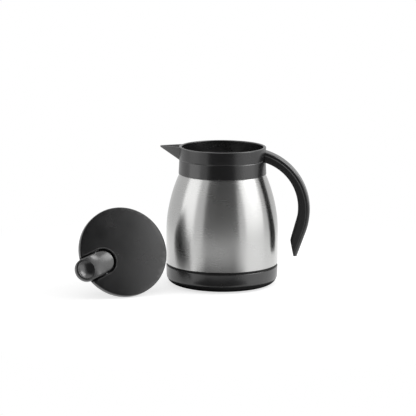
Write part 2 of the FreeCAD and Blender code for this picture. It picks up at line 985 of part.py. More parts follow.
def biarc(start, start_way, end, end_way):
    """Two arcs that leave and meet two points in given directions."""
    span = end - start
    ways = start_way + end_way
    bend = 2 * (1 - start_way.dot(end_way))
    along = span.dot(ways)
    reach = (math.sqrt(along ** 2 + bend * span.dot(span)) - along) / bend
    first = start + start_way * reach
    second = end - end_way * reach
    joint = (first + second) * 0.5
    return [
        Part.Arc(start, arc_middle(start, first, joint), joint).toShape(),
        Part.Arc(joint, arc_middle(joint, second, end), end).toShape(),
    ]


def valve_spring():
    low = disc_top + wire_radius + running_gap
    high = guide_ledge - wire_radius - running_gap
    pitch = (high - low) / spring_turns
    steps = 4 * spring_turns
    edges = []

    def at(step):
        turn = step * math.pi / 2
        return vec(coil_radius * math.cos(turn), coil_radius * math.sin(turn), low + pitch * step / 4)

    def way(step):
        turn = step * math.pi / 2
        heading = vec(-coil_radius * math.sin(turn), coil_radius * math.cos(turn), pitch / (2 * math.pi))
        heading.normalize()
        return heading

    for step in range(steps):
        edges += biarc(at(step), way(step), at(step + 1), way(step + 1))
    profile = Part.Wire(Part.Circle(at(0), way(0), wire_radius).toShape())
    return Part.Wire(edges).makePipeShell([profile], True, False)


# Where the lid lies: the edge of its flange and the lip of its gasket both touch the table

lid_lean = math.atan((lid_radius - gasket_radius) / gasket_bottom)
facing = math.radians(lid_facing_angle)
face_way = vec(math.cos(facing), math.sin(facing), 0)
lid_axis = face_way * math.cos(lid_lean) + vec(0, 0, math.sin(lid_lean))
lid_up = vec(0, 0, math.cos(lid_lean)) - face_way * math.sin(lid_lean)
lid_right = vec(-face_way.y, face_way.x, 0)
lever_turn = math.radians(lever_turn_angle)
lid_x = lid_right * math.cos(lever_turn) + lid_up * math.sin(lever_turn)
lid_y = lid_axis.cross(lid_x)
lid_origin = vec(lid_contact_x, lid_contact_y, 0) + lid_up * lid_radius


def lay_down(shape):
    move = FreeCAD.Matrix(
        lid_x.x, lid_y.x, lid_axis.x, lid_origin.x,
        lid_x.y, lid_y.y, lid_axis.y, lid_origin.y,
        lid_x.z, lid_y.z, lid_axis.z, lid_origin.z,
        0, 0, 0, 1,
    )
    placed = shape.copy()
    placed.Placement = FreeCAD.Placement(move).multiply(placed.Placement)
    return placed


write("outer_shell", outer_shell())
write("inner_liner", inner_liner())
write("liner_bottom", liner_bottom())
write("shell_bottom", shell_bottom())
write("getter", getter())
write("vacuum_plug", vacuum_plug())
write("base_cup", base_cup())
write("base_ring", base_ring())
write("foot_pad", foot_pad())
write("collar", collar())
write("neck_gasket", neck_gasket())
write("handle_grip", handle_grip())
write("handle_spine", handle_spine())
write("handle_screws", handle_screws())
write("stopper_body", lay_down(stopper_body()))
write("lid_cover", lay_down(lid_cover()))
write("cover_screws", lay_down(cover_screws()))
write("lid_gasket", lay_down(lid_gasket()))
write("lever_pin", lay_down(lever_pin()))
write("thumb_lever", lay_down(thumb_lever()))
write("valve_rod", lay_down(valve_rod()))
write("valve_disc", lay_down(valve_disc()))
write("valve_seal", lay_down(valve_seal()))
write("rod_clip", lay_down(rod_clip()))
write("valve_guide", lay_down(valve_guide()))
write("valve_spring", lay_down(valve_spring()))
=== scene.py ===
import json
import math

import bmesh
import bpy
from bpy.props import FloatProperty, FloatVectorProperty, PointerProperty
from mathutils import Matrix, Vector


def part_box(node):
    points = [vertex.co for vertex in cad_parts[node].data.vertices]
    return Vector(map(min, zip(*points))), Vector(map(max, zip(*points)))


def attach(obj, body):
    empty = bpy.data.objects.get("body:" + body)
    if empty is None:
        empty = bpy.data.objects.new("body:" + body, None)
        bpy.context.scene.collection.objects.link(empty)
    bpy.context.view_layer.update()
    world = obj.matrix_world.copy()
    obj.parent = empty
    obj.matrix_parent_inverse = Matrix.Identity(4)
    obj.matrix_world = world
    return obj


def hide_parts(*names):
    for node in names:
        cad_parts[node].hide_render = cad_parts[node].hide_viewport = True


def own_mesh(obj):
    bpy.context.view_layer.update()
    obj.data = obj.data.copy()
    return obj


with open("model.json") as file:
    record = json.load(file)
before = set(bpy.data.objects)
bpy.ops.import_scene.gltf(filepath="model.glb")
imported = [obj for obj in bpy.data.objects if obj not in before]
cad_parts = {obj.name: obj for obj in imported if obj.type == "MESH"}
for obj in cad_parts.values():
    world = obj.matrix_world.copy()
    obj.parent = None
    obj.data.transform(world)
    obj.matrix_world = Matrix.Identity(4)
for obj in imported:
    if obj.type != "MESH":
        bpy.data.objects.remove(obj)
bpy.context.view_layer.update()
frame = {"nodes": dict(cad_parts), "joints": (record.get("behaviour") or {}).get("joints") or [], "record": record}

bl_info = {
    "name": "Vacuum Carafe",
    "version": (1, 0, 0),
    "blender": (4, 5, 0),
    "location": "3D View > Sidebar > Carafe",
    "description": "Dresses the packed model of a steel vacuum carafe and its lift-off lid",
    "category": "Object",
}

MM = 0.001

# Steps of a full turn, of a long arc of the body or the lid, and of the handle's arcs
ROUND_STEPS = 160
ARC_STEPS = 40
HANDLE_STEPS = 72

# The lever's pin in the lid's own frame, and the slopes of the lever's top at its inner end and at the dimple
PIN_X = 29.3 * MM
PIN_Z = 2.6 * MM
STEEP_SLOPE = 0.34
GENTLE_SLOPE = 0.04

# Angles from upright of the handle's straight tail, outside and inside
OUTER_TAIL = 19.7
INNER_TAIL = 15.6

WHITE = (1.0, 1.0, 1.0, 1.0)


def linear(code):
    """Linear colour from an sRGB hex value such as C8C8C8."""
    levels = [int(code[i:i + 2], 16) / 255 for i in (0, 2, 4)]
    return [c / 12.92 if c <= 0.04045 else ((c + 0.055) / 1.055) ** 2.4 for c in levels]


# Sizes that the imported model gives
body_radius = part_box("outer_shell")[1].x
steel_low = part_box("base_ring")[1].z
base_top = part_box("base_ring")[0].z
base_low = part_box("base_cup")[0].z
pad_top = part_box("foot_pad")[1].z
pad_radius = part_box("foot_pad")[1].x
collar_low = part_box("collar")[0].z
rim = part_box("collar")[1].z
handle_half_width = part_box("handle_spine")[1].y
handle_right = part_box("handle_spine")[1].x
handle_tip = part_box("handle_spine")[0].z


def length(label, words, value):
    return FloatProperty(name=label, description=words, default=value, unit="LENGTH", precision=5)


def colour(label, words, code):
    return FloatVectorProperty(name=label, description=words, default=linear(code), subtype="COLOR", size=3,
                               min=0.0, max=1.0)


class CarafeSizes(bpy.types.PropertyGroup):
    """Sizes of the carafe's visible pieces."""

    body_radius: length("Body radius", "Radius of the steel body's straight side", body_radius)
    bell_start: length("Bell start", "Height at which the straight side turns into the bell", 57.0 * MM)
    shoulder_height: length("Shoulder height", "Height at which the bell ends, inside the collar",
                            collar_low + 2.4 * MM)
    shoulder_radius: length("Shoulder radius", "Radius of the bell's upper end", 47.75 * MM)
    steel_wall: length("Steel wall", "Thickness of the steel", 0.8 * MM)
    neck_radius: length("Neck radius", "Outer radius of the shell's neck inside the collar", 43.2 * MM)
    collar_radius: length("Collar radius", "Outer radius of the collar", 49.5 * MM)
    base_corner: length("Base corner", "Radius of the base cup's lower corner", 9.8 * MM)
    handle_top_drop: length("Handle top drop", "How far below the rim the handle leaves the collar", 4.5 * MM)
    handle_root_depth: length("Handle root depth", "Height of the handle where it leaves the collar",
                              12.4 * MM)
    handle_corner_drop: length("Handle corner drop", "How far below the rim the tail's inner corner is",
                               105.2 * MM)
    handle_tip_width: length("Handle tip width", "Width of the tail's blunt end", 4.2 * MM)
    handle_outer_radius: length("Handle outer radius", "Radius of the handle's outer arc", 70.8 * MM)
    handle_inner_radius: length("Handle inner radius", "Radius of the handle's inner arc", 53.7 * MM)
    handle_depth: length("Handle depth", "Depth of the handle at its furthest place", 13.2 * MM)
    spine_thickness: length("Spine thickness", "Thickness of the handle's outer strip", 3.4 * MM)
    lid_radius: length("Lid radius", "Radius of the lid's cover", 50.8 * MM)
    lid_top: length("Lid top", "Height of the middle of the cover above the flange's underside", 7.3 * MM)
    lid_crown: length("Lid crown", "How much lower the cover is at its edge than in the middle", 1.2 * MM)
    slot_half_width: length("Slot half width", "Half the width of the slot for the lever", 14.5 * MM)
    lever_start: length("Lever start", "From the lid's axis to the centre of the round inner end", 27.0 * MM)
    lever_end: length("Lever end", "From the lid's axis to the centre of the round outer end", 50.5 * MM)
    lever_half_width: length("Lever half width", "Half the width of the thumb lever", 13.2 * MM)
    lever_low: length("Lever low", "Height of the lever's top at its inner end", 6.2 * MM)
    dimple_radius: length("Dimple radius", "Radius of the hollow for the thumb", 9.5 * MM)
    dimple_depth: length("Dimple depth", "Depth of the hollow for the thumb", 2.4 * MM)


class CarafeColours(bpy.types.PropertyGroup):
    """Colours of the carafe's finishes."""

    steel: colour("Steel", "Brushed stainless steel of the body", "BEBEBD")
    liner: colour("Liner", "Satin stainless steel of the inside", "C4C4C2")
    black: colour("Black plastic", "Moulded plastic of the collar, the base and the lid", "141415")
    grip: colour("Grip plastic", "Matt plastic of the handle's inner part", "080809")
    grey: colour("Grey plastic", "Moulded plastic of the valve", "5E5F60")
    rubber: colour("Rubber", "Black rubber of the foot and the base ring", "131313")
    silicone: colour("Silicone", "Translucent grey silicone of the seals", "8C8D8C")
    plated: colour("Plated steel", "Zinc-plated steel of the screws and the pin", "B8BABC")
    spring: colour("Spring steel", "Drawn wire of the valve spring", "A9A9A8")
    getter: colour("Getter metal", "Sintered metal in the vacuum", "76746F")
    floor: colour("Floor", "White paper under the carafe", "CCCCCC")


def add_node(tree, kind, settings=None, inputs=None):
    """Adds a node with its settings. An input is a value, or the output that feeds it."""
    node = tree.nodes.new(kind)
    for name, value in (settings or {}).items():
        setattr(node, name, value)
    for name, value in (inputs or {}).items():
        if isinstance(value, bpy.types.NodeSocket):
            tree.links.new(value, node.inputs[name])
        else:
            node.inputs[name].default_value = value
    return node


def new_material(name):
    material = bpy.data.materials.new(name)
    material.use_nodes = True
    material.node_tree.nodes.clear()
    return material, material.node_tree


def finish_material(tree, shader):
    add_node(tree, "ShaderNodeOutputMaterial", None, {"Surface": shader.outputs[0]})


def brushed_steel(name, tint, roughness, line_mm, stretch):
    """Stainless steel brushed around the axis: highlights stretch up and down, and fine lines run round."""
    material, tree = new_material(name)
    place = add_node(tree, "ShaderNodeTexCoord")
    # Brush lines are about 0.1 mm apart; they are drawn several times coarser so that they show.
    across = 1 / (line_mm * MM)
    scaled = add_node(tree, "ShaderNodeMapping", None, {
        "Vector": place.outputs["Object"], "Scale": (across * stretch, across * stretch, across)})
    lines = add_node(tree, "ShaderNodeTexNoise", None, {
        "Vector": scaled.outputs[0], "Scale": 1.0, "Detail": 4.0, "Roughness": 0.6})
    smudge = add_node(tree, "ShaderNodeTexNoise", None, {
        "Vector": place.outputs["Object"], "Scale": 1 / (45 * MM), "Detail": 2.0})
    rough_lines = add_node(tree, "ShaderNodeMapRange", None, {
        "Value": lines.outputs[0], "From Min": 0.25, "From Max": 0.75,
        "To Min": roughness - 0.008, "To Max": roughness + 0.008})
    rough_smudge = add_node(tree, "ShaderNodeMapRange", None, {
        "Value": smudge.outputs[0], "From Min": 0.3, "From Max": 0.7, "To Min": -0.015, "To Max": 0.02})
    rough = add_node(tree, "ShaderNodeMath", {"operation": "ADD"}, {
        0: rough_lines.outputs[0], 1: rough_smudge.outputs[0]})
    shade = add_node(tree, "ShaderNodeMapRange", None, {
        "Value": lines.outputs[0], "From Min": 0.2, "From Max": 0.8, "To Min": 0.98, "To Max": 1.0})
    toned = add_node(tree, "ShaderNodeVectorMath", {"operation": "SCALE"}, {
        0: tint, "Scale": shade.outputs[0]})
    bump = add_node(tree, "ShaderNodeBump", None, {
        "Height": lines.outputs[0], "Strength": 0.015, "Distance": 0.02 * MM})
    around = add_node(tree, "ShaderNodeVectorMath", {"operation": "CROSS_PRODUCT"}, {
        0: (0.0, 0.0, 1.0), 1: place.outputs["Object"]})
    shader = add_node(tree, "ShaderNodeBsdfPrincipled", None, {
        "Base Color": toned.outputs[0], "Metallic": 1.0, "Roughness": rough.outputs[0],
        "Anisotropic": 0.85, "Anisotropic Rotation": 0.25,
        "Tangent": around.outputs[0], "Normal": bump.outputs[0]})
    finish_material(tree, shader)
    return material


def moulded_plastic(name, tint, roughness, grain_mm, relief, gloss=1.5):
    """Moulded plastic with a fine spark-eroded grain, and slow patches where hands have polished it."""
    material, tree = new_material(name)
    place = add_node(tree, "ShaderNodeTexCoord")
    # The grain is about 0.1 mm; it is drawn coarser so that it shows.
    grain = add_node(tree, "ShaderNodeTexNoise", None, {
        "Vector": place.outputs["Object"], "Scale": 1 / (grain_mm * MM), "Detail": 3.0, "Roughness": 0.55})
    patch = add_node(tree, "ShaderNodeTexNoise", None, {
        "Vector": place.outputs["Object"], "Scale": 1 / (28 * MM), "Detail": 3.0})
    rough = add_node(tree, "ShaderNodeMapRange", None, {
        "Value": patch.outputs[0], "From Min": 0.3, "From Max": 0.7,
        "To Min": roughness - 0.04, "To Max": roughness + 0.04})
    shade = add_node(tree, "ShaderNodeMapRange", None, {
        "Value": grain.outputs[0], "From Min": 0.3, "From Max": 0.7, "To Min": 0.88, "To Max": 1.08})
    toned = add_node(tree, "ShaderNodeVectorMath", {"operation": "SCALE"}, {
        0: tint, "Scale": shade.outputs[0]})
    # Moulded edges are never knife-sharp: the corners catch a thin line of light.
    corner = add_node(tree, "ShaderNodeBevel", {"samples": 6}, {"Radius": 0.5 * MM})
    bump = add_node(tree, "ShaderNodeBump", None, {
        "Height": grain.outputs[0], "Strength": relief, "Distance": 0.04 * MM, "Normal": corner.outputs[0]})
    shader = add_node(tree, "ShaderNodeBsdfPrincipled", None, {
        "Base Color": toned.outputs[0], "Roughness": rough.outputs[0], "IOR": gloss,
        "Normal": bump.outputs[0]})
    finish_material(tree, shader)
    return material


def plain_metal(name, tint, roughness, grain_mm):
    """Bare or plated metal with fine drawing or sinter marks."""
    material, tree = new_material(name)
    place = add_node(tree, "ShaderNodeTexCoord")
    grain = add_node(tree, "ShaderNodeTexNoise", None, {
        "Vector": place.outputs["Object"], "Scale": 1 / (grain_mm * MM), "Detail": 3.0})
    rough = add_node(tree, "ShaderNodeMapRange", None, {
        "Value": grain.outputs[0], "From Min": 0.3, "From Max": 0.7,
        "To Min": roughness - 0.07, "To Max": roughness + 0.07})
    bump = add_node(tree, "ShaderNodeBump", None, {
        "Height": grain.outputs[0], "Strength": 0.1, "Distance": 0.03 * MM})
    shader = add_node(tree, "ShaderNodeBsdfPrincipled", None, {
        "Base Color": (*tint, 1.0), "Metallic": 1.0, "Roughness": rough.outputs[0],
        "Normal": bump.outputs[0]})
    finish_material(tree, shader)
    return material


def material_for(slot):
    """The finish of one of the record's material slots, made once."""
    tones = bpy.context.scene.carafe_colours
    finishes = {
        # Bright and dark bands that run up and down the body, crossed by fine lines round it
        "brushed_steel": ("round_brushed_steel", brushed_steel, tones.steel, 0.27, 0.3, 0.01),
        # Duller, coarser steel inside the flask
        "liner_steel": ("satin_liner_steel", brushed_steel, tones.liner, 0.34, 0.8, 0.05),
        # Near-black with a soft sheen that shows the softboxes and bright lines on its corners
        "black_plastic": ("satin_black_plastic", moulded_plastic, tones.black, 0.25, 0.5, 0.03, 1.75),
        # Deep matt black that stays dark beside the spine
        "dark_grip_plastic": ("matt_grip_plastic", moulded_plastic, tones.grip, 0.52, 0.7, 0.2),
        # Mid-grey, slightly shiny moulding of the valve
        "grey_plastic": ("satin_grey_plastic", moulded_plastic, tones.grey, 0.42, 0.5, 0.1),
        # Black without a highlight
        "black_rubber": ("matt_black_rubber", moulded_plastic, tones.rubber, 0.7, 0.9, 0.25),
        # Pale grey with a waxy sheen
        "silicone": ("waxy_silicone", moulded_plastic, tones.silicone, 0.5, 1.2, 0.08),
        # Cool bright metal with a broken highlight
        "screw_steel": ("zinc_plated_steel", plain_metal, tones.plated, 0.34, 0.4),
        # Shiny wire with fine drawing marks
        "spring_steel": ("drawn_spring_wire", plain_metal, tones.spring, 0.3, 0.25),
        # Dull grey sinter
        "getter_metal": ("sintered_getter_metal", plain_metal, tones.getter, 0.55, 0.3),
    }
    name, make, *looks = finishes[slot]
    return bpy.data.materials.get(name) or make(name, *looks)


def dress(piece, slot):
    piece.data.materials.clear()
    piece.data.materials.append(material_for(slot))


def line_to(bm, start, x, z):
    end = bm.verts.new((x, start.co.y, z))
    bm.edges.new((start, end))
    return end


def arc_to(bm, start, x, z, degrees, steps):
    """Turns a point about an axis along Y through (x, z); positive angles go from +Z towards +X."""
    turned = bmesh.ops.spin(bm, geom=[start], cent=(x, 0, z), axis=(0, 1, 0), angle=math.radians(degrees),
                            steps=steps)
    return next(e for e in turned["geom_last"] if isinstance(e, bmesh.types.BMVert))


def soften(bm, vert, radius, steps=4):
    """Rounds a corner of a profile."""
    ways = [(e.other_vert(vert).co - vert.co).normalized() for e in vert.link_edges]
    turn = math.pi - ways[0].angle(ways[1])
    bmesh.ops.bevel(bm, geom=[vert], offset=radius * math.tan(turn / 2), offset_type="OFFSET",
                    affect="VERTICES", segments=steps, profile=0.5, material=-1)


def spin_round(bm):
    """Spins the profile about Z into a closed shell."""
    bmesh.ops.spin(bm, geom=bm.verts[:] + bm.edges[:], cent=(0, 0, 0), axis=(0, 0, 1), angle=2 * math.pi,
                   steps=ROUND_STEPS, use_merge=True)
    bmesh.ops.remove_doubles(bm, verts=bm.verts[:], dist=1e-6)
    bmesh.ops.recalc_face_normals(bm, faces=bm.faces[:])


def finish_piece(bm, name, body, slot, *nodes, sharp=32.0):
    """Makes an object of the mesh, with its finish, and lets it stand for CAD nodes."""
    mesh = bpy.data.meshes.new(name)
    bm.to_mesh(mesh)
    bm.free()
    for polygon in mesh.polygons:
        polygon.use_smooth = True
    mesh.set_sharp_from_angle(angle=math.radians(sharp))
    piece = bpy.data.objects.new(name, mesh)
    bpy.context.scene.collection.objects.link(piece)
    dress(piece, slot)
    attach(piece, body)
    if nodes:
        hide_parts(*nodes)
    return piece


class CARAFE_OT_steel_shell(bpy.types.Operator):
    """Bell-shaped steel shell with a rolled lower edge"""

    bl_idname = "carafe.steel_shell"
    bl_label = "Steel Shell"

    def execute(self, context):
        s = context.scene.carafe_sizes
        wall = s.steel_wall
        rise = s.shoulder_height - s.bell_start
        drop = s.body_radius - s.shoulder_radius
        bell = (rise ** 2 + drop ** 2) / (2 * drop)
        sweep = math.degrees(math.asin(rise / bell))
        centre = s.body_radius - bell
        seat = s.body_radius - 3.0 * MM
        neck = s.neck_radius
        neck_low = s.shoulder_height + 2.5 * MM
        neck_top = rim - 17.5 * MM
        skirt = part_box("outer_shell")[0].z
        low_edge = steel_low - 0.8 * MM
        hem_round = 0.7 * MM
        shoulder_round = 2.0 * MM
        bm = bmesh.new()
        first = bm.verts.new((seat - wall, 0, skirt))
        at = line_to(bm, first, seat, skirt)
        at = line_to(bm, at, seat, low_edge)
        hem = at = line_to(bm, at, s.body_radius, low_edge)
        at = line_to(bm, at, s.body_radius, s.bell_start)
        at = shoulder = arc_to(bm, at, centre, s.bell_start, -sweep, ARC_STEPS)
        at = line_to(bm, at, neck, neck_low)
        at = line_to(bm, at, neck, neck_top)
        at = line_to(bm, at, neck - wall, neck_top)
        at = line_to(bm, at, neck - wall, neck_low - wall / 2)
        inner = bell - wall
        low = s.shoulder_height - wall / 2
        inner_sweep = math.degrees(math.asin((low - s.bell_start) / inner))
        at = line_to(bm, at, centre + inner * math.cos(math.radians(inner_sweep)), low)
        at = arc_to(bm, at, centre, s.bell_start, inner_sweep, ARC_STEPS)
        at = line_to(bm, at, s.body_radius - wall, steel_low + wall)
        at = line_to(bm, at, seat - wall, steel_low + wall)
        bm.edges.new((at, first))
        soften(bm, hem, hem_round)
        soften(bm, shoulder, shoulder_round)
        spin_round(bm)
        finish_piece(bm, "steel_shell", "carafe", "brushed_steel", "outer_shell")
        return {"FINISHED"}


class CARAFE_OT_base(bpy.types.Operator):
    """Base cup with a rounded lower corner and a rounded lip"""

    bl_idname = "carafe.base"
    bl_label = "Base"

    def execute(self, context):
        s = context.scene.carafe_sizes
        wall = 2.25 * MM
        corner = s.base_corner
        side = s.body_radius - 0.4 * MM
        seat = s.body_radius - 2.7 * MM
        well = pad_radius + 0.3 * MM
        lip_round = 0.9 * MM
        inner_round = 0.3 * MM
        corner_steps, inner_steps = 20, 12
        bm = bmesh.new()
        first = bm.verts.new((0, 0, pad_top))
        at = line_to(bm, first, well, pad_top)
        at = line_to(bm, at, well, base_low)
        at = line_to(bm, at, side - corner, base_low)
        at = arc_to(bm, at, side - corner, base_low + corner, -90, corner_steps)
        lip = at = line_to(bm, at, s.body_radius, base_top)
        inner_lip = at = line_to(bm, at, seat, base_top)
        at = line_to(bm, at, seat, base_low + corner)
        at = line_to(bm, at, side - wall, base_low + corner)
        at = arc_to(bm, at, side - corner, base_low + corner, 90, inner_steps)
        at = line_to(bm, at, 0, base_low + wall)
        soften(bm, lip, lip_round, 5)
        soften(bm, inner_lip, inner_round, 2)
        spin_round(bm)
        finish_piece(bm, "base_cup_shell", "carafe", "black_plastic", "base_cup")
        return {"FINISHED"}


def outline_plate(bm, half_width):
    """Fills a closed outline in XZ and pulls it from one side of the handle to the other."""
    face = bmesh.ops.contextual_create(bm, geom=bm.edges[:])["faces"][0]
    pulled = bmesh.ops.extrude_face_region(bm, geom=[face])
    verts = [e for e in pulled["geom"] if isinstance(e, bmesh.types.BMVert)]
    bmesh.ops.translate(bm, verts=verts, vec=(0, 2 * half_width, 0))
    bmesh.ops.recalc_face_normals(bm, faces=bm.faces[:])


def side_edges(bm, half_width, test):
    """Edges of the two sides whose middle passes a test on its X and Z."""
    found = []
    for edge in bm.edges:
        a, b = edge.verts[0].co, edge.verts[1].co
        if abs(abs(a.y) - half_width) < 1e-6 and abs(a.y - b.y) < 1e-6 and test((a + b) / 2):
            found.append(edge)
    return found


def even_normals(piece):
    """Keeps the flat sides flat up to their rounded edges."""
    weighted = piece.modifiers.new("even_normals", "WEIGHTED_NORMAL")
    weighted.keep_sharp = True
    weighted.weight = 80


class HandleArc:
    """One arc of the handle with its straight tail."""

    def __init__(self, x, z, radius, tail):
        self.x, self.z, self.radius, self.tail = x, z, radius, tail

    def angle_at(self, x):
        return math.degrees(math.acos((x - self.x) / self.radius))

    def point(self, degrees):
        turn = math.radians(degrees)
        return self.x + self.radius * math.cos(turn), self.z + self.radius * math.sin(turn)

    def tail_x(self, z):
        x, top = self.point(-self.tail)
        return x - (top - z) * math.tan(math.radians(self.tail))

    def near(self, point, slack):
        return abs(math.hypot(point.x - self.x, point.z - self.z) - self.radius) < slack or (
            abs(point.x - self.tail_x(point.z)) < slack and point.z < self.z)

    def inside(self, distance):
        return HandleArc(self.x, self.z, self.radius - distance, self.tail)


def handle_arcs(s):
    collar = s.collar_radius
    top = rim - s.handle_top_drop
    outer_x = handle_right - s.handle_outer_radius
    outer_z = top - math.sqrt(s.handle_outer_radius ** 2 - (collar - outer_x) ** 2)
    inner_x = handle_right - s.handle_depth - s.handle_inner_radius
    low = top - s.handle_root_depth
    inner_z = low - math.sqrt(s.handle_inner_radius ** 2 - (collar - inner_x) ** 2)
    outer = HandleArc(outer_x, outer_z, s.handle_outer_radius, OUTER_TAIL)
    inner = HandleArc(inner_x, inner_z, s.handle_inner_radius, INNER_TAIL)
    return outer, inner


def handle_strip(bm, outer, inner, root, low_outer, low_inner, half_width):
    """Outline between two arcs from the collar to the tail's end, pulled to the handle's width."""
    x, z = outer.point(outer.angle_at(root))
    first = bm.verts.new((x, -half_width, z))
    at = arc_to(bm, first, outer.x, outer.z, outer.angle_at(root) + outer.tail, HANDLE_STEPS)
    at = line_to(bm, at, outer.tail_x(low_outer), low_outer)
    at = line_to(bm, at, inner.tail_x(low_inner), low_inner)
    at = line_to(bm, at, *inner.point(-inner.tail))
    at = arc_to(bm, at, inner.x, inner.z, -(inner.angle_at(root) + inner.tail), HANDLE_STEPS)
    bm.edges.new((at, first))
    outline_plate(bm, half_width)


class CARAFE_OT_handle(bpy.types.Operator):
    """C-shaped handle: a dark inner grip with a rounded shoulder, and a narrower spine along its outside"""

    bl_idname = "carafe.handle"
    bl_label = "Handle"

    def execute(self, context):
        s = context.scene.carafe_sizes
        outer, inner = handle_arcs(s)
        half = handle_half_width
        narrow = half - 1.4 * MM
        near = 0.05 * MM
        root = s.collar_radius - 1.2 * MM
        corner = rim - s.handle_corner_drop
        tip = handle_tip
        seam = outer.inside(s.spine_thickness + 0.02 * MM)
        tip_x = outer.tail_x(tip) - s.handle_tip_width
        inner_round = 3.0 * MM
        shoulder_round = 1.8 * MM
        spine_round = 2.4 * MM
        corner_x = inner.tail_x(corner)
        halvings = 40

        def cut_z(arc):
            """Height at which the slanted end of the tail crosses an arc's tail, found by halving."""
            low, high = tip, corner
            for halving in range(halvings):
                middle = (low + high) / 2
                slant = tip_x + (corner_x - tip_x) * (middle - tip) / (corner - tip)
                if arc.tail_x(middle) > slant:
                    high = middle
                else:
                    low = middle
            return low

        bm = bmesh.new()
        handle_strip(bm, seam, inner, root, cut_z(seam), corner, half)
        bevel_edges(bm, side_edges(bm, half, lambda p: inner.near(p, near)), inner_round, 6)
        bevel_edges(bm, side_edges(bm, half, lambda p: seam.near(p, near)), shoulder_round, 6)
        grip = finish_piece(bm, "grip", "carafe", "dark_grip_plastic", "handle_grip")
        even_normals(grip)

        under = outer.inside(s.spine_thickness)
        bm = bmesh.new()
        handle_strip(bm, outer, under, root, tip, cut_z(under), narrow)
        bevel_edges(bm, side_edges(bm, narrow, lambda p: outer.near(p, near)), spine_round, 7)
        spine = finish_piece(bm, "spine", "carafe", "black_plastic", "handle_spine")
        even_normals(spine)
        return {"FINISHED"}


def bevel_edges(bm, edges, radius, steps):
    bmesh.ops.bevel(bm, geom=edges, offset=radius, offset_type="OFFSET", affect="EDGES", segments=steps,
                    profile=0.5, material=-1, clamp_overlap=True)


def joint(name):
    return next(row for row in frame["joints"] if row["name"] == name)


def lid_place():
    """Matrix from the lid's own frame, whose Z is its axis and X its lever, to where the lid lies."""
    axis = Vector(joint("valve_lift")["axis"])
    across = Vector(joint("lever_press")["axis"])
    along = across.cross(axis)
    pin = Vector(joint("lever_press")["pos_m"])
    place = Matrix((along, across, axis)).transposed().to_4x4()
    place.translation = pin - along * PIN_X - axis * PIN_Z
    return place


def turn_to(bm, start, x, y, degrees, steps):
    """Turns a point about an upright axis through (x, y)."""
    turned = bmesh.ops.spin(bm, geom=[start], cent=(x, y, 0), axis=(0, 0, 1), angle=math.radians(degrees),
                            steps=steps)
    return next(e for e in turned["geom_last"] if isinstance(e, bmesh.types.BMVert))


def flat_line_to(bm, start, x, y):
    end = bm.verts.new((x, y, start.co.z))
    bm.edges.new((start, end))
    return end


def upper_face(bm):
    """Fills the outline with one face that looks up."""
    face = bmesh.ops.contextual_create(bm, geom=bm.edges[:])["faces"][0]
    face.normal_update()
    if face.normal.z < 0:
        face.normal_flip()
    return face


def round_border(bm, face, radius, steps):
    """Rounds the border of a flat face: each inset stands a little higher."""
    for step in range(steps):
        low, high = (math.pi / 2 * (step + k) / steps for k in (0, 1))
        bmesh.ops.inset_region(bm, faces=[face], thickness=radius * (math.cos(low) - math.cos(high)),
                               use_even_offset=True, use_boundary=True)
        bmesh.ops.translate(bm, verts=face.verts[:], vec=(0, 0, radius * (math.sin(high) - math.sin(low))))


def grid_face(bm, face, spacing):
    """Cuts a flat face into a grid, so that it can take a crown."""
    level = face.verts[0].co.z
    reach = [abs(v.co[axis]) for v in face.verts for axis in (0, 1)]
    lines = int(max(reach) / spacing)
    for way in ((1, 0, 0), (0, 1, 0)):
        for line in range(-lines, lines + 1):
            faces = [f for f in bm.faces if all(abs(v.co.z - level) < 1e-7 for v in f.verts)]
            edges = list({e for f in faces for e in f.edges})
            verts = list({v for f in faces for v in f.verts})
            bmesh.ops.bisect_plane(bm, geom=faces + edges + verts, dist=1e-6,
                                   plane_co=Vector(way) * line * spacing, plane_no=way)


def pulled_face(bm, face):
    """Pulls a face out of itself; the new face then moves on."""
    pulled = bmesh.ops.extrude_face_region(bm, geom=[face])["geom"]
    return next(e for e in pulled if isinstance(e, bmesh.types.BMFace))


def close_below(bm, level):
    """Pulls the open border down to a height that is a function of X, and fills it. Gives the underside."""
    border = [e for e in bm.edges if e.is_boundary]
    pulled = bmesh.ops.extrude_edge_only(bm, edges=border)["geom"]
    for vert in [e for e in pulled if isinstance(e, bmesh.types.BMVert)]:
        vert.co.z = level(vert.co.x)
    rim_edges = [e for e in pulled if isinstance(e, bmesh.types.BMEdge) and e.is_boundary]
    return bmesh.ops.edgeloop_fill(bm, edges=rim_edges)["faces"][0]


